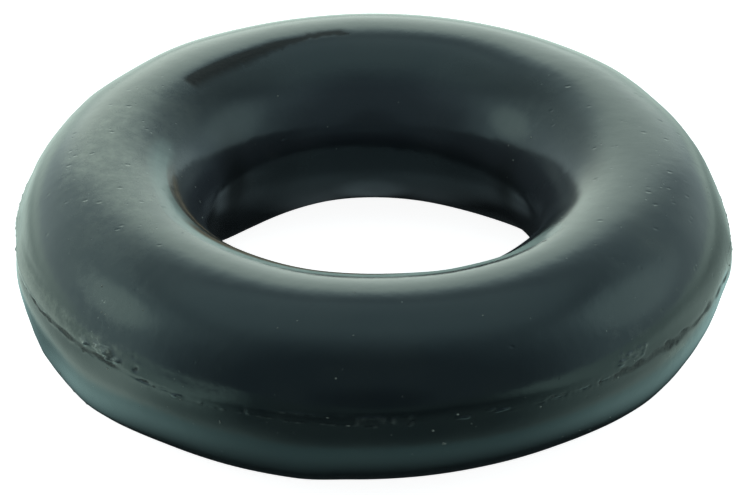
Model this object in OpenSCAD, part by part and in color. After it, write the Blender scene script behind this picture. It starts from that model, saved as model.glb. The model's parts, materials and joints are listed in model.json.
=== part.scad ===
// Rubber o-ring, moulded in two mould halves: one solid ring of round section, with the marks
// that the mould and the trimming leave. Lengths are in millimetres and angles in degrees.
// Z is the axis of the ring and the origin is its centre. Places round the ring are angles
// from +X, anticlockwise seen from above.

/* [Ring] */
// Diameter of the hole through the ring, between the bare walls
inner_dia = 5.94; // [4:0.01:12]
// Thickness of the ring's round section
section_dia = 3.53; // [2.6:0.01:5]

/* [Mould] */
// Height of the parting plane above the middle of the ring
parting_rise = 0.21; // [0:0.01:0.5]
// Sideways slip between the two mould halves
mould_slip = 0.05; // [0:0.01:0.1]

/* [Trimmed flash outside] */
// Height of the land where the flash was trimmed off
land_height = 0.16; // [0.1:0.01:0.3]
// How far the land stands out from the wall of the ring
land_proud = 0.02; // [0.01:0.01:0.06]
// How far the burrs along both edges of the land stand out from it
burr_proud = 0.015; // [0.005:0.005:0.05]
// Number of ragged scraps of flash left on the land
scrap_count = 22; // [1:1:48]
// Length of the longest scrap along the land
scrap_length = 0.55; // [0.2:0.05:1.2]
// How far the tallest scrap stands out from the land
scrap_proud = 0.05; // [0.02:0.01:0.1]

/* [Torn flash outside] */
// Width of the torn groove under the land
tear_width = 0.09; // [0.05:0.01:0.15]
// Length of the longest tear along the parting line
tear_length = 0.9; // [0.3:0.05:1.6]
// Number of tears in each torn stretch
tears_per_stretch = 6; // [1:1:10]

/* [Trimmed flash in the hole] */
// Height of the band left where the flash was trimmed out of the hole
band_height = 0.2; // [0.1:0.01:0.5]
// How far the band stands into the hole from the bare wall
band_proud = 0.03; // [0.03:0.005:0.08]

/* [Crease on the crown] */
// Width of the moulded-in crease
crease_width = 0.12; // [0.06:0.01:0.2]
// Depth of the crease
crease_depth = 0.03; // [0.01:0.005:0.05]
// How far the crease lies towards the hole from the top of the crown
crease_inset = 0.43; // [0.1:0.01:0.8]
// Where the crease starts round the ring
crease_start = 96; // [0:1:359]
// How far the crease runs round the ring
crease_sweep = 45; // [10:1:90]

/* [Hidden] */

// Finish of the curves: the ring, and the small marks on it
$fn = 180;
mark_fn = 24;

// Centre line and walls of the ring
section_r = section_dia / 2;
ring_r = inner_dia / 2 + section_r;
function wall_reach(z) = sqrt(section_r * section_r - z * z);
function outer_wall(z) = ring_r + wall_reach(z);
function inner_wall(z) = ring_r - wall_reach(z);

// Every mark is rooted this deep in the rubber
root = 0.2;

// The land stands on the parting plane, with a foot just below it
land_foot = 0.02;
land_bottom = parting_rise - land_foot;
land_top = land_bottom + land_height;
land_r = outer_wall(parting_rise) + land_proud;
burr_height = land_height / 4;

// The two stretches of the outside where the flash tore out, as [start, sweep]
TORN = [[190, 46], [300, 44]];

// The scraps lie round the whole land, with their gaps and sizes set by this seed
scrap_seed = 11;
scrap_pitch = 360 / scrap_count;
tear_seed = 5;

// Angle that a length along the outside takes up
function swept(length) = length / land_r * 180 / PI;

// A profile carried part of the way round the ring
module along(start, sweep) {
    rotate_extrude(angle = sweep, start = start)
        children();
}

// One mould half's share of the section: side is 1 above the parting plane and -1 below it
module half_section(side) {
    intersection() {
        translate([ring_r, 0])
            circle(r = section_r);
        translate([ring_r, parting_rise + side * section_dia / 2])
            square([section_dia + root, section_dia], center = true);
    }
}

// The ring as the mould makes it, its lower half slipped towards -X
module moulded_ring() {
    for (side = [1, -1])
        translate([side * mould_slip / 2, 0, 0])
            rotate_extrude()
                half_section(side);
}

// The land round the outside, with a burr along each edge
module outer_land() {
    rotate_extrude()
        polygon([
            [land_r - root, land_bottom],
            [land_r + burr_proud, land_bottom],
            [land_r, land_bottom + burr_height],
            [land_r, land_top - burr_height],
            [land_r + burr_proud, land_top],
            [land_r - root, land_top]
        ]);
}

// A scrap of flash: a low blunt fin on the land
module scrap(start, length, proud, rise) {
    foot = land_bottom + rise * land_height / 2;
    along(start, swept(length))
        polygon([
            [land_r - root, foot],
            [land_r + proud, foot + land_height / 8],
            [land_r + proud / 2, foot + land_height / 3],
            [land_r - root, foot + land_height / 2]
        ]);
}

module scraps() {
    shifts = rands(0, 1, scrap_count, scrap_seed);
    sizes = rands(0.3, 1, scrap_count, scrap_seed + 1);
    rises = rands(0.1, 0.9, scrap_count, scrap_seed + 2);
    for (i = [0 : scrap_count - 1])
        scrap(
            (i + shifts[i] / 2) * scrap_pitch,
            scrap_length * sizes[i],
            scrap_proud * sizes[i],
            rises[i]
        );
}

// A tear: a short notch, cut where the land meets the wall below it
module tear(start, length, width) {
    mouth_r = land_r + root;
    floor_r = outer_wall(parting_rise) - width / 2;
    along(start, swept(length))
        polygon([
            [floor_r, land_bottom],
            [mouth_r, land_bottom - width / 2 - root],
            [mouth_r, land_bottom + width / 2 + root]
        ]);
}

module tears() {
    for (k = [0 : len(TORN) - 1]) {
        shifts = rands(0, 0.5, tears_per_stretch, tear_seed + k);
        sizes = rands(0.3, 1, tears_per_stretch, tear_seed + k + 2);
        pitch = TORN[k][1] / tears_per_stretch;
        for (i = [0 : tears_per_stretch - 1])
            tear(
                TORN[k][0] + (i + shifts[i]) * pitch,
                tear_length * sizes[i],
                tear_width * (0.6 + 0.4 * sizes[i])
            );
    }
}

// The band in the hole, whose face is a true cylinder
module throat_band() {
    translate([0, 0, parting_rise - band_height / 2])
        difference() {
            cylinder(r = inner_wall(parting_rise) + root, h = band_height);
            translate([0, 0, -band_height])
                cylinder(r = inner_dia / 2 - band_proud, h = 3 * band_height);
        }
}

// The crease: a groove that runs along the crown, just inside its top
module crease() {
    crease_r = ring_r - crease_inset;
    crease_top = wall_reach(crease_inset);
    along(crease_start, crease_sweep)
        translate([crease_r, crease_top + crease_width / 2 - crease_depth])
            circle(d = crease_width, $fn = mark_fn);
}

module o_ring() {
    color([0.09, 0.10, 0.10])
        difference() {
            union() {
                moulded_ring();
                outer_land();
                scraps();
                throat_band();
            }
            tears();
            crease();
        }
}

o_ring();
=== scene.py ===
"""O-ring: the moulded rubber ring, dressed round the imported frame.

The ring is one closed surface on a grid of two angles: around, which runs round the ring, and
section, which runs round its thickness. Marks of the mould, of trimming and of wear are added to
it as small heights, and as shares from 0 to 1 that the rubber reads as attributes.
Lengths are worked out in millimetres and angles in radians. The mesh is put down in metres.
"""

import json
import math

import bmesh
import bpy
import numpy as np
from mathutils import Matrix, Vector


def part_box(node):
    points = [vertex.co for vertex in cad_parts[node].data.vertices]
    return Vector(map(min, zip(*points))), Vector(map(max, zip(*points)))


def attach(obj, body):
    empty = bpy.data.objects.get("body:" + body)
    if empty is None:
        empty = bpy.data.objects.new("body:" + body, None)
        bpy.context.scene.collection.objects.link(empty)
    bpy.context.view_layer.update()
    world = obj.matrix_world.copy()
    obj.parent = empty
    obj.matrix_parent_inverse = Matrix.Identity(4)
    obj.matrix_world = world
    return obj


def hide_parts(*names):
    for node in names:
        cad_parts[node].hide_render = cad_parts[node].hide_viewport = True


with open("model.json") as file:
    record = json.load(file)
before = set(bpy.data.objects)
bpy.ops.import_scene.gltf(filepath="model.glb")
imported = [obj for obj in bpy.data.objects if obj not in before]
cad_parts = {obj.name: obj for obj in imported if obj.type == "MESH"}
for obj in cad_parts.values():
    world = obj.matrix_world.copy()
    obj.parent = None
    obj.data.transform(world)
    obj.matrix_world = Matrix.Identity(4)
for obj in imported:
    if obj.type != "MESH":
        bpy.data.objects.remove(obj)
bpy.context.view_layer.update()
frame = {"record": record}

MM = 0.001
TAU = 2 * math.pi

# Sizes of the ring in millimetres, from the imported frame
bore = frame["record"]["mounts"][0]
box_low, box_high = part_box("o_ring")
SECTION_R = (box_high.z - box_low.z) / 2 / MM
PARTING_RISE = bore["pos_m"][2] / MM
BAND_R = bore["dims"]["r_mm"]
BAND_HEIGHT = bore["dims"]["length_mm"]
# How far the band in the hole stands proud of the bare wall
BAND_PROUD = 0.03
RING_R = BAND_R + BAND_PROUD + SECTION_R
PARTING_ANGLE = math.asin(PARTING_RISE / SECTION_R)
THROAT_ANGLE = math.pi - PARTING_ANGLE
# How far the upper mould half is slipped sideways, and the height of the trimmed land outside
MOULD_SLIP = 0.05
LAND_HEIGHT = 0.15

# Fineness of the surface: rows crowd together at the parting lines and the crease, columns in front
COLUMNS = 960
ROWS = 104
# Where they crowd: the angle, the width of the crowd in radians and how much denser it is
COLUMN_CROWDS = ((math.radians(270), 1.1, 0.7),)
ROW_CROWDS = (
    (PARTING_ANGLE + 0.03, 0.15, 13),
    (THROAT_ANGLE, 0.1, 3),
    (math.radians(104), 0.12, 4),
)

# What the surface tells the rubber at each point, as shares from 0 to 1. torn, stain and mark are
# matt places: tears, brown stains and a dark streak along a crease. Two more are matt places of
# painted light: painted shade on the hole's sides, and a painted highlight along its rim in front.
# bloom is pale dust, and a cloudy film lies on the left of the crown and along a lip, partly a
# painted highlight. Painted reflected light lies low in the hole, and worn is how scuffed it is.
MARKS = ("torn", "bloom", "stain", "mark", "worn", "haze", "dull", "rubbed", "veil")


def smooth_step(values, low, high):
    """Goes from 0 at low to 1 at high along 3s^2 - 2s^3."""
    s = np.clip((values - low) / (high - low), 0, 1)
    return s * s * (3 - 2 * s)


def bell(values, centre, width):
    """A bell of height 1 at centre: exp(-((v - centre) / width)^2)."""
    return np.exp(-((values - centre) / width) ** 2)


def window(values, low, high, soft):
    """1 between low and high, 0 outside, with soft ends."""
    above_low = smooth_step(values, low - soft, low + soft)
    return above_low * smooth_step(-values, -high - soft, -high + soft)


def turn_gap(angles, centre):
    """The signed angle from centre to each angle, the short way round."""
    return (angles - centre + math.pi) % TAU - math.pi


def crowded_angles(count, crowds):
    """count angles round a circle, spaced inversely as a density.

    The density is 1 plus, for each crowd (centre, width, extra), a bell of that width and height."""
    steps = 14400
    fine = np.linspace(0, TAU, steps + 1)
    bells = (extra * bell(turn_gap(fine, centre), 0, width) for centre, width, extra in crowds)
    density = 1 + sum(bells)
    share = np.concatenate([[0], np.cumsum((density[1:] + density[:-1]) / 2)])
    return np.interp(np.arange(count) / count, share / share[-1], fine)


def wander(angles, seed, low, high):
    """A wandering line round the ring: 24 cosines with low to high waves a lap and seeded phases.

    Its spread is about 1."""
    cosines = 24
    draws = np.random.default_rng(seed)
    waves = draws.integers(low, high, cosines)
    phases = draws.uniform(0, TAU, cosines)
    return np.cos(angles[..., None] * waves + phases).sum(-1) / math.sqrt(cosines / 2)


def ripple(place, seed, wave_length):
    """Rough ground: 40 plane waves of about one wave length in seeded directions, spread about 1.

    place holds points in space, in millimetres, so the ground meets itself all round the ring."""
    waves = 40
    draws = np.random.default_rng(seed)
    total = 0
    for _ in range(waves):
        heading = draws.normal(size=3)
        wave = heading / np.linalg.norm(heading) * TAU / wave_length * draws.uniform(0.6, 1.6)
        total = total + np.cos(place @ wave + draws.uniform(0, TAU))
    return total / math.sqrt(waves / 2)


class Surface:
    """The grid of the ring and the places of its marks.

    around and section are the two angles, rise is the arc in millimetres above the outer parting
    line, throat is the arc above the parting line in the hole, and degrees is around in degrees.
    place is the bare ring's points in millimetres, and height is how far the skin stands out from
    them. Each name in MARKS is a share."""

    def __init__(self):
        turns = crowded_angles(COLUMNS, COLUMN_CROWDS)
        rows = crowded_angles(ROWS, ROW_CROWDS)
        self.around, self.section = np.meshgrid(turns, rows, indexing="ij")
        self.degrees = np.degrees(self.around)
        self.rise = SECTION_R * turn_gap(self.section, PARTING_ANGLE)
        self.throat = -SECTION_R * turn_gap(self.section, THROAT_ANGLE)
        reach = RING_R + SECTION_R * np.cos(self.section)
        rise = SECTION_R * np.sin(self.section)
        self.place = np.stack([reach * np.cos(self.around), reach * np.sin(self.around), rise], -1)
        self.height = np.zeros_like(self.around)
        for name in MARKS:
            setattr(self, name, np.zeros_like(self.around))

    def swell(self, degrees, section_degrees, wide, tall):
        """A soft round patch: a bell in both angles, each width in degrees."""
        across = turn_gap(self.around, math.radians(degrees)) / math.radians(wide)
        up = turn_gap(self.section, math.radians(section_degrees)) / math.radians(tall)
        return np.exp(-(across ** 2) - up ** 2)

    def spot(self, degrees, rise, wide, tall):
        """A small patch at the outer parting line: a bell, each width in millimetres."""
        across = turn_gap(self.around, math.radians(degrees)) * (RING_R + SECTION_R) / wide
        return np.exp(-(across ** 2) - ((self.rise - rise) / tall) ** 2)

    def sector(self, start, end, soft):
        """1 between two angles round the ring, in degrees, with soft ends."""
        return window(self.degrees, start, end, soft)

    def stripe(self, section_degrees, wide):
        """A stripe all round the ring: a bell about one angle of the section, wide in radians."""
        return bell(turn_gap(self.section, math.radians(section_degrees)), 0, wide)

    def belt(self, section_degrees, below, above, soft):
        """1 in a belt all round the ring, from below to above one angle of the section.

        below, above and soft are in radians."""
        return window(turn_gap(self.section, math.radians(section_degrees)), below, above, soft)


# Swells of the skin: height in millimetres, negative for a hollow, then the middle's degrees round
# the ring and round the section, then the width both ways in degrees
SWELLS = (
    (0.115, 217, -38, 11, 22),
    (-0.045, 297, -60, 20, 30),
    (0.065, 322, -40, 11, 22),
    (0.07, 352, -6, 3.5, 16),
    (-0.1, 7, 22, 13, 20),
    (-0.07, 185, 2, 6, 20),
    (-0.05, 175, 18, 5, 12),
    (0.05, 204, -27, 5, 12),
    (-0.02, 194, -14, 4, 10),
    (-0.05, 27, 43, 9, 18),
    (0.04, 130, 55, 12, 18),
    (0.025, 150, 45, 6, 15),
    (-0.035, 17, 34, 6, 14),
    (0.16, 130, 231, 15, 21),
    (0.05, 142, 228, 8, 20),
    (0.04, 112, 237, 12, 20),
    (-0.085, 306, 127, 13, 16),
    (-0.03, 288, 124, 8, 14),
    (-0.07, 36, 228, 11, 18),
    (0.03, 62, 236, 14, 25),
)


def add_unevenness(ring):
    """The rubber is not quite round: soft swells and hollows of a tenth of a millimetre or so.

    The lower half stands out at the left and at the right tip, and the upper half is drawn in.
    The low front and the hole's rim in front swell along a stripe, and fine ripples lie over all."""
    for height, *middle_and_widths in SWELLS:
        ring.height += height * ring.swell(*middle_and_widths)
    ring.height += 0.05 * ring.stripe(-48, 0.4) * ring.sector(203, 262, 5)
    ring.height += 0.018 * ring.stripe(120, 0.1) * ring.sector(205, 335, 15)
    ring.height += 0.003 * ripple(ring.place, 3, 2.2)


def add_land(ring):
    """The trimmed land outside: a band left proud by the knife, with a burr along each edge.

    Each edge wanders, and the burrs come and go. In front only stretches of them are left."""
    lower = -0.03 + 0.009 * wander(ring.around, 21, 5, 60)
    upper = LAND_HEIGHT - 0.03 + 0.01 * wander(ring.around, 22, 5, 60)
    back = 1 - ring.sector(190, 349, 5)
    front = ring.sector(237, 301, 3)
    proud = smooth_step(ring.rise, lower - 0.02, lower + 0.02)
    proud *= smooth_step(-ring.rise, -upper - 0.05, -upper + 0.05) * (back + 0.25 * front)
    proud *= smooth_step(wander(ring.around, 23, 20, 90), -1.2, 0.8)
    ring.height += 0.005 * proud
    ring.haze += 0.1 * proud
    low_kept = back + ring.sector(238, 268, 2) + 0.8 * ring.sector(288, 299, 2)
    high_kept = 0.75 * back + 0.8 * ring.sector(253, 265.5, 1.5)
    for seed, edge, kept in ((31, lower, low_kept), (41, upper, high_kept)):
        comes = smooth_step(wander(ring.around, seed, 15, 90), -1.3, 0.4)
        teeth = np.clip(0.55 + (0.5 - 0.3 * front) * wander(ring.around, seed + 1, 100, 380), 0, 2)
        burr = bell(ring.rise, edge, 0.015) * comes * teeth * kept
        ring.height += (0.012 - 0.004 * front) * burr
        ring.bloom += (0.45 + 0.4 * front) * burr


def add_cell(ring, degrees, rise, half_wide, half_tall, seed):
    """A small ragged loop of flash, round a rectangle with soft corners."""
    across = turn_gap(ring.around, math.radians(degrees)) * (RING_R + SECTION_R) / half_wide
    up = (ring.rise - rise) / half_tall
    reach = (across ** 4 + up ** 4) ** 0.25
    ragged = np.clip(0.6 + 0.5 * ripple(ring.place, seed, 0.14), 0, 1.6)
    loop = bell(reach, 1, 0.22) * ragged
    ring.height += 0.01 * loop
    ring.bloom += 0.35 * loop + 0.06 * smooth_step(-reach, -1, -0.7)


def add_torn_stretch(ring, start, end, line, depth, wide, seed):
    """A stretch where the flash tore out: a ragged groove at the height line, from start to end.

    The groove's middle, its width and its depth all wander, so that it fades in and out."""
    here = ring.sector(start, end, 2.5)
    middle = line + 0.007 * wander(ring.around, seed, 30, 120)
    width = wide * np.clip(1 + 0.3 * wander(ring.around, seed + 1, 40, 200), 0.5, 1.8)
    strong = np.clip(0.55 + 0.45 * wander(ring.around, seed + 2, 20, 110), 0.08, 1.6)
    groove = np.exp(-((ring.rise - middle) / width) ** 2) * here * strong
    ring.height -= depth * groove
    ring.torn += 0.5 * groove
    rags = ripple(ring.place, seed + 3, 0.15)
    fringe = np.exp(-((ring.rise - middle) / (3 * width)) ** 2) * here
    ring.height += 0.0025 * rags * fringe


def add_pit(ring, degrees, rise, wide, tall, depth):
    """A raw shallow hole where a scrap of flash tore away, with a low curl on its upper side."""
    hole = ring.spot(degrees, rise, wide, tall)
    ring.height -= 0.3 * depth * hole
    ring.torn += 0.85 * hole
    curl = ring.spot(degrees, rise + 1.7 * tall, 1.2 * wide, 0.6 * tall)
    ring.height += 0.06 * depth * curl
    ring.bloom += 0.1 * curl


def add_scraps(ring, start, end, rise, spread, count, seed):
    """Scraps of flash left standing: seeded small bells between two angles, near one height."""
    draws = np.random.default_rng(seed)
    for _ in range(count):
        degrees = draws.uniform(start, end)
        place = rise + spread * draws.normal()
        wide = draws.uniform(0.02, 0.08)
        tall = draws.uniform(0.014, 0.03)
        proud = draws.uniform(0.006, 0.028)
        scrap = ring.spot(degrees, place, wide, tall)
        ring.height += proud * scrap
        ring.bloom += draws.uniform(0.1, 0.8) * scrap


def add_soft_groove(ring, start, end, line, wide, depth, torn, seed):
    """A wide shallow groove where a strip of flash came away, fading at both ends.

    line is the height of its middle at each point."""
    middle = line + 0.012 * wander(ring.around, seed, 20, 90)
    width = wide * np.clip(1 + 0.2 * wander(ring.around, seed + 1, 20, 90), 0.6, 1.4)
    strong = np.clip(0.95 + 0.15 * wander(ring.around, seed + 2, 20, 90), 0.3, 1.3)
    groove = np.exp(-((ring.rise - middle) / width) ** 2) * strong * ring.sector(start, end, 3)
    ring.height -= depth * groove
    ring.torn += torn * groove


# Marks along the outer parting line. Places round the ring are in degrees, heights above the line
# and sizes in millimetres.
# Torn stretches: start, end, height, depth, width and seed
TORN_STRETCHES = (
    (199, 223, 0.01, 0.012, 0.02, 61),
    (231.5, 237, 0.02, 0.02, 0.022, 65),
    (296, 312, -0.01, 0.012, 0.02, 71),
)
# Pits: place, height, half width, half height and depth
PITS = (
    (206.3, -0.02, 0.07, 0.02, 0.03),
    (209.8, -0.01, 0.05, 0.015, 0.02),
    (214.5, 0.05, 0.22, 0.04, 0.006),
    (220.0, -0.03, 0.035, 0.035, 0.04),
    (223.9, 0.06, 0.13, 0.04, 0.05),
    (226.3, 0.04, 0.08, 0.022, 0.04),
    (230.3, 0.37, 0.028, 0.028, 0.04),
    (231.3, 0.17, 0.055, 0.055, 0.06),
    (233.5, 0.04, 0.09, 0.022, 0.03),
    (235.3, 0.0, 0.05, 0.02, 0.02),
    (250.8, 0.02, 0.025, 0.045, 0.03),
    (298.0, 0.04, 0.05, 0.025, 0.03),
    (299.8, 0.03, 0.05, 0.02, 0.02),
    (306.8, -0.02, 0.03, 0.06, 0.05),
    (309.8, -0.03, 0.025, 0.03, 0.03),
    (311.5, 0.03, 0.09, 0.03, 0.02),
    (315.0, 0.0, 0.1, 0.055, 0.04),
    (321.7, 0.0, 0.07, 0.06, 0.05),
    (322.8, -0.08, 0.06, 0.07, 0.05),
    (324.6, -0.14, 0.045, 0.05, 0.03),
    (326.0, 0.01, 0.07, 0.018, 0.03),
    (327.0, -0.03, 0.06, 0.018, 0.03),
    (347.0, -0.27, 0.13, 0.025, 0.03),
    (349.5, -0.32, 0.09, 0.02, 0.03),
)
# Groups of scraps: start, end, height, spread, count and seed
SCRAPS = (
    (219.3, 220.7, 0.14, 0.02, 6, 80),
    (222.3, 225.6, 0.2, 0.03, 34, 81),
    (225.2, 227.9, 0.14, 0.03, 22, 88),
    (310, 316.5, 0.19, 0.05, 14, 82),
    (282.3, 284.6, 0.03, 0.05, 3, 83),
    (287, 290.5, 0.03, 0.05, 4, 89),
    (238, 262, -0.02, 0.01, 3, 85),
    (0, 190, 0.04, 0.05, 30, 84),
)
# Ragged loops: place, height, half width, half height and seed
CELLS = (
    (269.8, 0.035, 0.2, 0.085, 86),
    (274.6, 0.035, 0.17, 0.085, 87),
)


def add_outer_tears(ring):
    """The torn stretches, grooves, pits and scraps of the outer parting line.

    At the left the skin above them is dusty and carries a cloudy film, partly a painted highlight
    along the lip there. It is dusty at the right, and carries a cloudy film low at the right tip."""
    for stretch in TORN_STRETCHES:
        add_torn_stretch(ring, *stretch)
    left_line = 0.01 + 0.04 * smooth_step(ring.degrees, 206, 213)
    add_soft_groove(ring, 201, 229, left_line, 0.055, 0.003, 0.62, 54)
    right_line = -0.06 - 0.05 * smooth_step(ring.degrees, 318, 336)
    right_line -= 0.12 * smooth_step(ring.degrees, 337, 350)
    add_soft_groove(ring, 309, 350, right_line, 0.1, 0.003, 0.66, 51)
    # A lip at the left above the groove, lightened with dust and a film: partly a painted highlight
    left = window(ring.rise, 0.07, 0.4, 0.05) * ring.sector(186, 229, 4)
    right = bell(ring.rise, 0.2, 0.08) * ring.sector(310, 317, 1.5)
    ring.height += 0.01 * left
    ring.haze += left * (0.7 - 0.1 * smooth_step(ring.degrees, 212, 228))
    ring.bloom += 0.6 * left * ring.sector(211, 231, 5) + 0.9 * right
    low_right = window(ring.rise, -0.6, -0.2, 0.08) * ring.sector(322, 350, 4)
    ring.haze += 0.9 * low_right
    ring.bloom += 0.4 * low_right + 0.5 * ring.swell(347, 11, 3.5, 8)
    for pit in PITS:
        add_pit(ring, *pit)
    for group in SCRAPS:
        add_scraps(ring, *group)
    for cell in CELLS:
        add_cell(ring, *cell)


def add_throat(ring):
    """The parting line in the hole: a low smooth band with soft edges."""
    band = window(ring.throat, -BAND_HEIGHT / 2, BAND_HEIGHT / 2, 0.09)
    ring.height += 0.12 * BAND_PROUD * band * (1 + 0.3 * wander(ring.around, 91, 4, 40))


def add_crease(ring):
    """A dark matt streak on the crown at the back, along a shallow crease with blunt ends.

    It is widest at its left end. Its outer edge is crisp and its inner edge fades."""
    start, end = 96.0, 143.0
    share = np.clip((ring.degrees - start) / (end - start), 0, 1)
    ragged = 0.35 * wander(ring.around, 93, 60, 300)
    outer = 95.6 + 4.0 * smooth_step(share, 0, 0.7) + 0.8 * smooth_step(share, 0.93, 1) + 0.3 * ragged
    outer += 1.5 * smooth_step(-share, -0.06, 0)
    width = 4.2 + 6.6 * smooth_step(share, 0.1, 0.7) - 1.2 * smooth_step(share, 0.93, 1) + ragged
    across = (np.degrees(ring.section) - outer) / width
    mark = smooth_step(across, -0.1, 0.12) * smooth_step(-across, -1.35, -0.6)
    mark *= ring.sector(start, end, 0.9)
    ring.height -= 0.004 * mark
    ring.mark += mark


def add_wear(ring):
    """What wear and dust leave on the skin, and painted light, as shares for the rubber to read.

    Dust lies at the left and right shoulders and in the hole, and a cloudy film on the left of the
    crown, partly a painted highlight. The hole's rim in front carries a painted highlight and is
    stained, the hole's sides are made matt and dark as painted shade, and painted reflected light
    lies low in it. The crown is scuffed at the left and the right."""
    patches = np.clip(0.5 + 0.5 * ripple(ring.place, 95, 1.1), 0, 1)
    left = ring.swell(221, 42, 7, 16)
    right = ring.swell(316, 30, 7, 12)
    smudge = ring.swell(35, 140, 10, 14) + 0.5 * ring.swell(140, 165, 16, 20)
    ring.bloom += patches * (0.9 * left + 0.4 * right + 0.4 * smudge)
    # A cloudy film on the left of the crown, partly a painted highlight that lightens its sheen
    ring.haze += 1.35 * ring.swell(180, 88, 30, 30) * (0.6 + 0.4 * patches)
    # Painted highlight: a pale matt band along the hole's rim in front, standing in for the sheen's
    # bright band that runs to the edge
    ring.rubbed += 0.68 * ring.belt(114.5, -0.1, 0.12, 0.05) * ring.sector(212, 318, 14)
    ring.rubbed += 0.48 * ring.stripe(121, 0.13) * ring.sector(170, 214, 9)
    ring.stain += 0.6 * ring.stripe(120.5, 0.045) * ring.sector(215, 275, 9)
    ring.stain += 0.5 * ring.stripe(130, 0.06) * ring.sector(180, 224, 10)
    # Painted shade: the hole's sides at the back and two patches deep in the hole are made matt and
    # dark
    sides = 1 - ring.sector(66, 116, 12) - ring.sector(154, 345, 12)
    ring.dull += 0.35 * sides * ring.belt(140, -0.5, 1.3, 0.15)
    ring.dull += 0.9 * ring.swell(148, 178, 7, 22) + 0.6 * ring.swell(34, 183, 6, 20)
    # Painted reflected light: a grey-blue coat low in the hole
    ring.veil += ring.belt(152, -0.32, 0.36, 0.16)
    ring.worn += ring.stripe(80, 0.75) * np.clip(np.cos(2 * ring.around) * 1.6 + 0.2, 0, 1)


def ring_points(ring):
    """The grid's points: a torus whose section radius is SECTION_R plus the heights.

    The half above the parting line is shifted along X by the mould's slip. The step is soft: it
    lies above the line at the left and below it at the right, and is softer still in the hole."""
    radius = SECTION_R + ring.height
    reach = RING_R + radius * np.cos(ring.section)
    z = radius * np.sin(ring.section)
    spread = 0.19 + 0.16 * ring.sector(318, 352, 8)
    outside = smooth_step((ring.rise - 0.08 + 0.16 * np.cos(ring.around)) / spread, -1, 1)
    inside = smooth_step(ring.throat / 0.4, -1, 1)
    above = np.where(np.cos(ring.section) > 0, outside, inside)
    slip = MOULD_SLIP / 2 * (2 * above - 1)
    x = reach * np.cos(ring.around) + slip
    y = reach * np.sin(ring.around)
    return np.stack([x, y, z], axis=-1)


def closed_grid_mesh(name, points):
    """A mesh on a grid whose two directions both close on themselves; faces point outwards."""
    columns, rows = points.shape[:2]
    i, j = np.meshgrid(np.arange(columns), np.arange(rows), indexing="ij")
    i_next = (i + 1) % columns
    j_next = (j + 1) % rows
    quads = np.stack([i * rows + j, i_next * rows + j, i_next * rows + j_next, i * rows + j_next], -1)
    mesh = bpy.data.meshes.new(name)
    mesh.from_pydata((points.reshape(-1, 3) * MM).tolist(), [], quads.reshape(-1, 4).tolist())
    mesh.shade_smooth()
    return mesh


def add_attribute(mesh, name, values):
    """Puts one number on each point of the mesh, for the rubber to read."""
    layer = mesh.attributes.new(name, "FLOAT", "POINT")
    layer.data.foreach_set("value", np.clip(values, 0, 1).ravel().astype(np.float32))


class Value:
    """One socket of a node tree. Arithmetic on it adds Math nodes."""

    def __init__(self, tree, socket):
        self.tree = tree
        self.socket = socket

    def math(self, operation, *others):
        """One Math node on this value and the others."""
        return self.tree.node("ShaderNodeMath", {"operation": operation}, self, *others)[0]

    def __add__(self, other):
        return self.math("ADD", other)

    def __sub__(self, other):
        return self.math("SUBTRACT", other)

    def __mul__(self, other):
        return self.math("MULTIPLY", other)

    def __truediv__(self, other):
        return self.math("DIVIDE", other)

    def __pow__(self, other):
        return self.math("POWER", other)

    def __rsub__(self, other):
        return self.tree.node("ShaderNodeMath", {"operation": "SUBTRACT"}, other, self)[0]

    __radd__ = __add__
    __rmul__ = __mul__

    def step(self, low, high):
        """Goes smoothly from 0 at low to 1 at high."""
        return self.tree.node(
            "ShaderNodeMapRange", {"interpolation_type": "SMOOTHSTEP"}, self, low, high, 0.0, 1.0
        )[0]


class Tree:
    """The nodes of one material or world, added one call at a time."""

    def __init__(self, owner):
        owner.use_nodes = True
        self.nodes = owner.node_tree.nodes
        self.links = owner.node_tree.links
        self.nodes.clear()

    def node(self, kind, settings=None, *values, **named):
        """Adds a node, sets it, then sets or links its inputs: values in order, named by name.

        Returns its outputs, each as a Value."""
        added = self.nodes.new(kind)
        for key, setting in (settings or {}).items():
            setattr(added, key, setting)
        pairs = list(zip(added.inputs, values))
        pairs += [(added.inputs[key.replace("_", " ")], value) for key, value in named.items()]
        for socket, value in pairs:
            if value is None:
                continue
            if isinstance(value, Value):
                self.links.new(value.socket, socket)
            else:
                socket.default_value = value
        return [Value(self, output) for output in added.outputs]

    def mix(self, factor, first, second):
        """The colour first where factor is 0 and second where it is 1."""
        added = self.nodes.new("ShaderNodeMix")
        added.data_type = "RGBA"
        sockets = [s for s in added.inputs if s.enabled]
        for socket, value in zip(sockets, (factor, first, second)):
            if isinstance(value, Value):
                self.links.new(value.socket, socket)
            else:
                socket.default_value = (*value, 1) if isinstance(value, tuple) else value
        return Value(self, [s for s in added.outputs if s.enabled][0])

    def noise(self, place, scale, detail, rough=0.5):
        """Cloudy noise about 0.5, scale waves to a unit of place."""
        return self.node("ShaderNodeTexNoise", None, place, None, scale, detail, rough)[0]

    def attribute(self, name):
        """One share of the surface's points, by its name."""
        return self.node("ShaderNodeAttribute", {"attribute_name": name})[2]


def scattered_dots(tree, place, scale, radius, share):
    """Small round dots, one in some cells of a scattered grid: 1 in the middle of a dot, 0 outside.

    scale is cells to a millimetre, radius is in millimetres, share is how many cells hold one."""
    distance, colour = tree.node("ShaderNodeTexVoronoi", None, place, None, scale)[:2]
    draw = tree.node("ShaderNodeSeparateColor", None, colour)[0]
    held = (draw + share).step(0.99, 1.01)
    return distance.step(radius * scale, 0.3 * radius * scale) * held


# Colours of the rubber's skin, and of what lies on it
SKIN_DEEP = (0.0062, 0.0088, 0.0112)
SKIN_PALE = (0.0092, 0.0118, 0.0132)
# Painted reflected light low in the hole
BORE_REFLECTION_COLOUR = (0.038, 0.043, 0.051)
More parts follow.
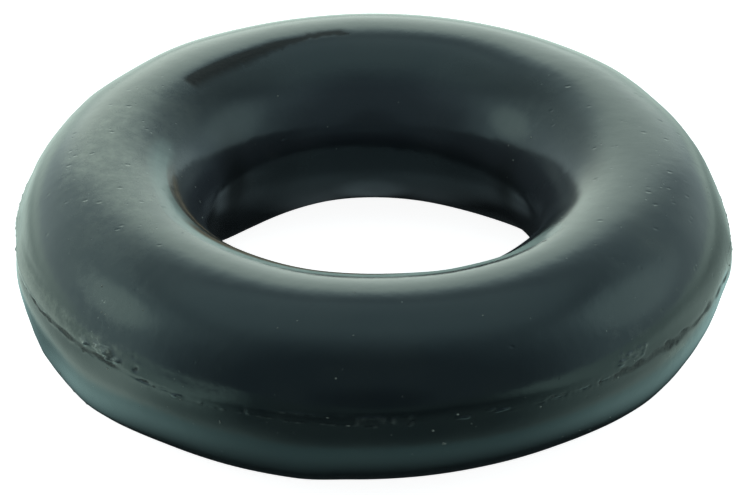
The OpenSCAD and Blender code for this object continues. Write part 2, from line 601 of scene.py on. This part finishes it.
# A cloudy film from wear, and one that is partly a painted highlight
HAZE_AND_HIGHLIGHT_COLOUR = (0.14, 0.145, 0.115)
DUST_COLOUR = (0.16, 0.17, 0.15)
PALE_DUST = (0.42, 0.45, 0.38)
SHEEN_TINT = (0.79, 1.0, 1.02, 1)
# Colours of its matt places
RAW_DEEP = (0.025, 0.030, 0.032)
RAW_PALE = (0.07, 0.08, 0.072)
# A dark colour: painted shade on the hole's sides, and the crease's streak
SHADE_AND_STREAK_COLOUR = (0.0035, 0.0055, 0.006)
RUST_DEEP = (0.12, 0.085, 0.05)
RUST_PALE = (0.3, 0.25, 0.16)
# The pale colour of the painted highlight along the hole's rim in front
RIM_HIGHLIGHT_COLOUR = (0.31, 0.39, 0.36)
# Colours of the crumbs
CRUMB_DEEP = (0.05, 0.055, 0.05)
CRUMB_PALE = (0.22, 0.24, 0.21)


def place_in_mm(tree):
    """Each point's place in millimetres, for patterns that stay on the piece."""
    place = tree.node("ShaderNodeTexCoord")[3]
    return tree.node("ShaderNodeVectorMath", {"operation": "SCALE"}, place, Scale=1 / MM)[0]


def bump(tree, strength, relief):
    """The normal over a relief of heights in millimetres."""
    return tree.node("ShaderNodeBump", None, Strength=strength, Distance=MM, Height=relief)[0]


def rubber_material():
    """Satin black rubber: cloudy sheen, fine ripples, knocks, pale dust and films, and matt places.

    Two shaders are mixed: the skin, with what lies on it, and the matt places that MARKS lists.
    Painted light is laid on too: painted reflected light low in the hole and a film that is partly a
    painted highlight on the skin; painted shade on the hole's sides and a painted highlight along
    its rim are among the matt places."""
    material = bpy.data.materials.new("black_rubber")
    tree = Tree(material)
    place = place_in_mm(tree)
    long_cells = tree.node("ShaderNodeVectorMath", {"operation": "MULTIPLY"}, place, (0.6, 1, 1))[0]
    torn, bloom, stain, mark, worn, haze, dull, rubbed, veil = (tree.attribute(name) for name in MARKS)
    clouds = tree.noise(place, 0.8, 4)
    mottle = tree.noise(place, 5, 5, 0.6)
    grain = tree.noise(place, 28, 2)
    waves = tree.noise(place, 2.4, 2)
    rags = tree.noise(place, 16, 4, 0.65)
    knocks = scattered_dots(tree, long_cells, 5.0, 0.045, 0.015 + 0.45 * worn)
    pinholes = scattered_dots(tree, place, 7.0, 0.025, 0.02 + 0.3 * worn)
    specks = scattered_dots(tree, place, 6.0, 0.026, 0.03 + 0.05 * worn + 0.8 * bloom)

    dusty = (bloom * mottle.step(0.4, 0.75) + specks * 0.55).math("MINIMUM", 1.0)
    film = worn * clouds.step(0.4, 0.65)
    # The film of wear, and the cloudy film that is partly a painted highlight
    haze_and_highlight_share = film * 0.12 + haze * (0.1 + 0.7 * mottle.step(0.3, 0.8))
    colour = tree.mix(clouds.step(0.3, 0.7), SKIN_DEEP, SKIN_PALE)
    # Painted reflected light: a grey-blue coat low in the hole
    colour = tree.mix(veil * (0.7 + 0.3 * clouds), colour, BORE_REFLECTION_COLOUR)
    colour = tree.mix(haze_and_highlight_share, colour, HAZE_AND_HIGHLIGHT_COLOUR)
    colour = tree.mix(dusty * 0.5, colour, DUST_COLOUR)
    colour = tree.mix(dusty.step(0.4, 1.0) * 0.7, colour, PALE_DUST)
    rough = 0.09 + 0.07 * clouds + 0.06 * mottle + 0.25 * dusty + 0.09 * worn
    relief = 0.005 * waves + 0.0016 * mottle - 0.004 * knocks - 0.003 * pinholes + 0.0004 * grain
    satin = tree.node(
        "ShaderNodeBsdfPrincipled",
        None,
        Base_Color=colour,
        Roughness=rough,
        IOR=1.52,
        Specular_Tint=SHEEN_TINT,
        Normal=bump(tree, 1.0, relief),
    )[0]
    raw_colour = tree.mix(rags.step(0.35, 0.65), RAW_DEEP, RAW_PALE)
    # The hole's painted shade and the crease's streak take the dark colour
    raw_colour = tree.mix((mark + dull).step(0.0, 0.3), raw_colour, SHADE_AND_STREAK_COLOUR)
    rust = tree.mix(stain.step(0.4, 0.75), RUST_DEEP, RUST_PALE)
    # A pale colour along the hole's rim in front: a painted highlight
    raw_colour = tree.mix(rubbed.step(0.0, 0.2), raw_colour, RIM_HIGHLIGHT_COLOUR)
    raw_colour = tree.mix(stain.step(0.0, 0.2), raw_colour, rust)
    raw = tree.node(
        "ShaderNodeBsdfPrincipled",
        None,
        Base_Color=raw_colour,
        Roughness=0.6,
        IOR=1.4,
        Specular_IOR_Level=0.2,
        Normal=bump(tree, 1.0, 0.008 * rags),
    )[0]
    ragged = 0.5 * (rags - 0.5) * torn.step(0.05, 0.4)
    # The matt shader also lays on the hole's painted shade and the rim's painted highlight
    share = (torn + ragged).step(0.2, 0.8).math("MAXIMUM", mark * 0.9 + dull * 0.8)
    share = share.math("MAXIMUM", rubbed * (0.85 + 0.3 * mottle))
    share = share.math("MAXIMUM", stain.step(0.05, 0.7) * (0.6 + 0.4 * mottle.step(0.3, 0.6)))
    shader = tree.node("ShaderNodeMixShader", None, share, satin, raw)[0]
    tree.node("ShaderNodeOutputMaterial", None, Surface=shader)
    return material


def crumb_material():
    """Pale dusty crumbs: a cloudy grey-green, quite rough."""
    material = bpy.data.materials.new("pale_crumb")
    tree = Tree(material)
    clouds = tree.noise(place_in_mm(tree), 30, 3)
    colour = tree.mix(clouds.step(0.35, 0.65), CRUMB_DEEP, CRUMB_PALE)
    normal = bump(tree, 0.6, 0.006 * clouds)
    shader = tree.node(
        "ShaderNodeBsdfPrincipled", None, Base_Color=colour, Roughness=0.5 + 0.3 * clouds, Normal=normal
    )[0]
    tree.node("ShaderNodeOutputMaterial", None, Surface=shader)
    return material


# The tints of the room's light: where it is dim, in the lamps, on the floor and on the floor close to
# the ring. A light of STRONG or more takes its lamp's tint fully.
DIM_TINT = (0.77, 1.0, 1.1)
LAMP_TINT = (0.88, 1.0, 0.88)
FLOOR_TINT = (0.72, 1.0, 0.92)
NEAR_TINT = (0.6, 1.0, 0.99)
STRONG = 2.8

# The walls' plain light, where 1 is white, and what comes on top of it. Each light is its strength,
# the azimuth and elevation of its middle, and how far its even core and its soft edge reach, in
# degrees. Azimuth 0 is the right and 90 the back.
WALL_LIGHT = 0.86
ROOM_LIGHTS = (
    (0.42, 145, 8, 25, 75),  # the wall behind, at the left
    (0.12, 100, 75, 15, 45),  # overhead
    (1.35, 90, 14, 17, 31),  # the backdrop
    (0.3, 54, 4, 8, 20),  # its right end
    (0.95, 176, 26, 8, 17),  # the left lamp
    (0.58, 7, 26, 8, 23),  # the right lamp
)

# Spots on the floor. Each is its strength, negative where it shades, its place in millimetres to the
# right and to the back, and how far its even core and its soft edge reach. The two whose names end in
# SHADE are taken off the light by the strength that they give.
FAR_SPOTS = (
    (0.6, -15, 0.5, 3, 8),
    (0.3, 15, -1, 2, 7),
    (-0.38, 13, 8, 4, 10),
    (-0.35, -17, 12, 3, 9),
)
FRONT_SHADE = (0.8, 0.5, -17, 8.5, 15)
LEFT_SPOTS = ((-0.15, -5.5, -7.5, 1, 3), (0.5, -9.5, -7.5, 2, 5))
LEFT_SHADE = (0.45, -7.3, -1.3, 0.5, 2.5)
FOOT_SPOTS = ((0.2, -6, -6, 1.5, 4), (0.1, 6.5, -6, 1, 3.5), (0.3, -7, -4, 1, 2.7))
HOLE_SPOTS = (
    (0.2, 0, 1, 1, 2.7),
    (0.2, 0, 3.4, 0.2, 0.7),
    (0.17, -0.7, 3, 0.3, 1.1),
    (0.15, 0.7, 2.8, 0.3, 1.1),
)


def lobe(tree, direction, azimuth, elevation, core, edge):
    """1 within core degrees of a direction of the room, 0 beyond edge degrees, smooth between."""
    turn, rise = math.radians(azimuth), math.radians(elevation)
    centre = (math.cos(turn) * math.cos(rise), math.sin(turn) * math.cos(rise), math.sin(rise))
    near = tree.node("ShaderNodeVectorMath", {"operation": "DOT_PRODUCT"}, direction, centre)[1]
    return near.step(math.cos(math.radians(edge)), math.cos(math.radians(core)))


def tinted(tree, strength, dim, lamp):
    """A light of some strength: the first tint where it is dim, the second where it is strong."""
    tint = tree.mix((strength / STRONG).math("MINIMUM", 1.0), dim, lamp)
    return tree.node("ShaderNodeVectorMath", {"operation": "SCALE"}, tint, Scale=strength)[0]


def studio_world():
    """The room: pale walls and ceiling, a lit backdrop, a soft lamp at each side, a dark front.

    A dimmer gap lies high between the backdrop and the ceiling. Camera rays see plain white."""
    world = bpy.data.worlds.new("studio")
    bpy.context.scene.world = world
    tree = Tree(world)
    direction = tree.node("ShaderNodeTexCoord")[0]
    z = tree.node("ShaderNodeSeparateXYZ", None, direction)[2]
    lit = WALL_LIGHT
    for strength, *middle_and_reach in ROOM_LIGHTS:
        lit = lit + strength * lobe(tree, direction, *middle_and_reach)
    gap = z.step(0.70, 0.75) * z.step(0.87, 0.79) * lobe(tree, direction, 85, 50, 32, 75)
    ceiling = z.step(0.6, 0.8)
    front = lobe(tree, direction, 270, 8, 38, 82)
    lens = lobe(tree, direction, 270, 6, 8, 22)
    light = lit * (1 - 0.28 * gap) * (1 - 0.14 * ceiling) * (1 - 0.78 * front - 0.12 * lens)
    camera = tree.node("ShaderNodeLightPath")[0]
    shown = tree.mix(camera, tinted(tree, light, DIM_TINT, LAMP_TINT), (1, 1, 1))
    glow = tree.node("ShaderNodeBackground", None, shown, 1.0)[0]
    tree.node("ShaderNodeOutputWorld", None, Surface=glow)


def floor_spot(tree, place, strength, x_mm, y_mm, core_mm, edge_mm):
    """strength within core of a place on the floor, 0 beyond edge, smooth between."""
    centre = (x_mm * MM, y_mm * MM, box_low.z)
    gap = tree.node("ShaderNodeVectorMath", {"operation": "DISTANCE"}, place, centre)[1]
    return strength * gap.step(edge_mm * MM, core_mm * MM)


def with_spots(tree, place, light, spots):
    """A light on the floor with some spots added to it."""
    for spot in spots:
        light = light + floor_spot(tree, place, *spot)
    return light


def floor_material():
    """Pale paper. Camera rays see it near white, under the ring's shadow.

    Glossy rays see the room's light on it: a far part, a near part by the ring, and a dim part in
    the hole. It fades under the ring and towards the front. reach is the distance from the ring's
    axis in millimetres, and right and back are the direction from it, from -1 to 1."""
    material = bpy.data.materials.new("pale_floor")
    tree = Tree(material)
    paper = tree.node("ShaderNodeBsdfDiffuse", None, Color=(0.8, 0.8, 0.8, 1))[0]
    paths = tree.node("ShaderNodeLightPath")
    camera, glossy = paths[0], paths[3]
    glow = tree.node("ShaderNodeEmission", None, (1, 1, 1, 1), 0.93)[0]
    lit = tree.node("ShaderNodeAddShader", None, paper, glow)[0]
    place = tree.node("ShaderNodeTexCoord")[3]
    x, y = tree.node("ShaderNodeSeparateXYZ", None, place)[:2]
    reach = (x * x + y * y) ** 0.5
    right = x / reach
    back = y / reach
    reach = reach / MM
    y = y / MM
    far = with_spots(tree, place, 1.1 - 0.2 * right + 0.3 * y.step(5, 20), FAR_SPOTS)
    front = y.step(-7, -17) * back.step(-0.68, -0.86)
    far = far * (1 - floor_spot(tree, place, *FRONT_SHADE)) * (1 - 0.85 * front)
    far = with_spots(tree, place, far, LEFT_SPOTS)
    far = far * (1 - (0.2 - 0.1 * right) * reach.step(7.6, 8.3) * reach.step(10.5, 9.0))
    near = 0.86 - 0.34 * back.step(-0.62, -0.95) - floor_spot(tree, place, *LEFT_SHADE)
    rim = reach.step(7.8, 7.3)
    outside = with_spots(tree, place, far * (1 - rim) + near * rim, FOOT_SPOTS)
    light = with_spots(tree, place, outside * reach.step(5.9, 7.1) + 0.02, HOLE_SPOTS)
    tint = tree.mix(rim, FLOOR_TINT, NEAR_TINT)
    tint = tree.mix(reach.step(6.2, 5.2), tint, DIM_TINT)
    seen = tinted(tree, light, tint, tree.mix(rim, LAMP_TINT, FLOOR_TINT))
    seen = tree.node("ShaderNodeEmission", None, seen, 1.0)[0]
    shader = tree.node("ShaderNodeMixShader", None, camera, paper, lit)[0]
    shader = tree.node("ShaderNodeMixShader", None, glossy, shader, seen)[0]
    tree.node("ShaderNodeOutputMaterial", None, Surface=shader)
    return material


def make_floor():
    """A square sheet of paper under the ring, two metres to each side."""
    half = 2.0
    mesh = bpy.data.meshes.new("floor")
    z = box_low.z
    corners = [(-half, -half, z), (half, -half, z), (half, half, z), (-half, half, z)]
    mesh.from_pydata(corners, [], [(0, 1, 2, 3)])
    floor = bpy.data.objects.new("floor", mesh)
    bpy.context.scene.collection.objects.link(floor)
    floor.data.materials.append(floor_material())


# Where the camera stands: its height angle and distance from the ring, and how narrow its view is
CAMERA_ELEVATION = math.radians(31.343)
CAMERA_DISTANCE = 15.121 * RING_R * MM
FOCAL_PIXELS = 3936.0
FRAME_WIDTH_PIXELS = 747
SENSOR_WIDTH = 36.0
# The camera aims at a point this far to the right of the ring's centre and below it, as it sees them
AIM_RIGHT_PIXELS = 1.18
AIM_DOWN_PIXELS = 13.8
ROLL = -0.00203


def make_camera():
    """The camera: it stands in front of the ring, above it, and looks a little past its centre."""
    data = bpy.data.cameras.new("camera")
    data.sensor_width = SENSOR_WIDTH
    data.lens = FOCAL_PIXELS / FRAME_WIDTH_PIXELS * SENSOR_WIDTH
    data.clip_start = 0.001
    data.clip_end = 20
    camera = bpy.data.objects.new("camera", data)
    bpy.context.scene.collection.objects.link(camera)
    bpy.context.scene.camera = camera
    level = Vector((0, -math.cos(CAMERA_ELEVATION), math.sin(CAMERA_ELEVATION)))
    camera.location = level * CAMERA_DISTANCE
    up = Vector((0, math.sin(CAMERA_ELEVATION), math.cos(CAMERA_ELEVATION)))
    pixel = CAMERA_DISTANCE / FOCAL_PIXELS
    aim = (Vector((1, 0, 0)) * AIM_RIGHT_PIXELS - up * AIM_DOWN_PIXELS) * pixel
    rotation = (aim - camera.location).to_track_quat("-Z", "Y").to_matrix()
    camera.rotation_euler = rotation.to_euler()
    camera.rotation_euler.rotate_axis("Z", ROLL)


# How many finer crumbs come after the ones that are placed
FINE_CRUMBS = 30
# Crumbs of flash stuck to the skin. Each is its degrees round the ring and round the section,
# then its half length and half width in millimetres.
CRUMBS = (
    (279.1, 1, 0.03, 0.025),
    (280.8, -11, 0.025, 0.04),
    (281.2, -12, 0.03, 0.018),
    (240.3, 5, 0.03, 0.016),
    (211, -30, 0.05, 0.02),
    (214.5, -35, 0.07, 0.022),
    (216.5, -38, 0.05, 0.02),
    (301.4, -29, 0.02, 0.014),
    (304.6, -28, 0.018, 0.016),
    (307.3, -31, 0.022, 0.014),
    (310.8, -29, 0.025, 0.014),
    (121.1, 137, 0.02, 0.02),
    (265.9, 87, 0.016, 0.014),
    (266.6, 59, 0.018, 0.016),
    (256.4, 60, 0.016, 0.014),
    (253.6, 57, 0.016, 0.018),
    (289.3, 64, 0.018, 0.014),
    (264.0, 30, 0.02, 0.018),
    (355.7, 46, 0.035, 0.014),
    (176.4, 135, 0.018, 0.02),
    (180.2, 139, 0.018, 0.025),
    (177.4, 150, 0.02, 0.02),
    (181.6, 152, 0.02, 0.03),
    (192.1, 152, 0.02, 0.02),
    (218.6, 43, 0.025, 0.025),
    (221.2, 34, 0.022, 0.02),
    (222.4, 34, 0.022, 0.02),
    (228.9, 44, 0.02, 0.016),
    (37.3, 157, 0.018, 0.016),
    (32.7, 159, 0.02, 0.018),
    (29.5, 144, 0.03, 0.02),
    (349.2, 2, 0.03, 0.02),
    (246.7, -2, 0.015, 0.045),
    (225.8, 4.2, 0.035, 0.025),
    (296, 3.6, 0.025, 0.02),
    (310.6, 3.6, 0.02, 0.03),
    (266.6, 5.9, 0.045, 0.01),
    (263.4, 10.1, 0.035, 0.01),
    (282.7, 9.4, 0.03, 0.02),
)


def make_crumbs(ring, points):
    """The crumbs: small pebbles of twenty faces, sunk about two thirds into the surface.

    After the placed ones come seeded finer ones, spread over the front of the outer face."""
    draws = np.random.default_rng(98)
    fine = [
        (draws.uniform(195, 350), draws.normal(5, 18), draws.uniform(0.008, 0.016), 0.008)
        for _ in range(FINE_CRUMBS)
    ]
    shape = bmesh.new()
    for degrees, section_degrees, half_long, half_wide in list(CRUMBS) + fine:
        turn, tilt = math.radians(degrees), math.radians(section_degrees)
        column = np.abs(turn_gap(ring.around[:, 0], turn)).argmin()
        row = np.abs(turn_gap(ring.section[0], tilt)).argmin()
        along = Vector((-math.sin(turn), math.cos(turn), 0))
        flat_out = Vector((math.cos(turn), math.sin(turn), 0))
        out = flat_out * math.cos(tilt) + Vector((0, 0, 1)) * math.sin(tilt)
        up = Vector((0, 0, 1)) * math.cos(tilt) - flat_out * math.sin(tilt)
        thick = 0.7 * half_wide
        sides = Matrix((along * half_long, up * half_wide, out * thick)).transposed() * MM
        centre = (Vector(points[column, row]) - out * thick * 0.3) * MM
        matrix = Matrix.Translation(centre) @ sides.to_4x4()
        bmesh.ops.create_icosphere(shape, subdivisions=1, radius=1, matrix=matrix)
    mesh = bpy.data.meshes.new("rubber_crumbs")
    shape.to_mesh(mesh)
    shape.free()
    mesh.materials.append(crumb_material())
    add_piece("rubber_crumbs", mesh)


def add_piece(name, mesh):
    """Puts a piece of the ring into the scene, riding with the part."""
    piece = bpy.data.objects.new(name, mesh)
    bpy.context.scene.collection.objects.link(piece)
    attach(piece, "root")
    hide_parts("o_ring")


def make_ring():
    """The ring: its grid with all heights and shares, then its mesh and its crumbs."""
    ring = Surface()
    add_unevenness(ring)
    add_land(ring)
    add_outer_tears(ring)
    add_throat(ring)
    add_crease(ring)
    add_wear(ring)
    points = ring_points(ring)
    mesh = closed_grid_mesh("rubber_ring", points)
    for name in MARKS:
        add_attribute(mesh, name, getattr(ring, name))
    mesh.materials.append(rubber_material())
    add_piece("rubber_ring", mesh)
    make_crumbs(ring, points)


bpy.context.scene.view_settings.view_transform = "Standard"
make_camera()
studio_world()
make_floor()
make_ring()
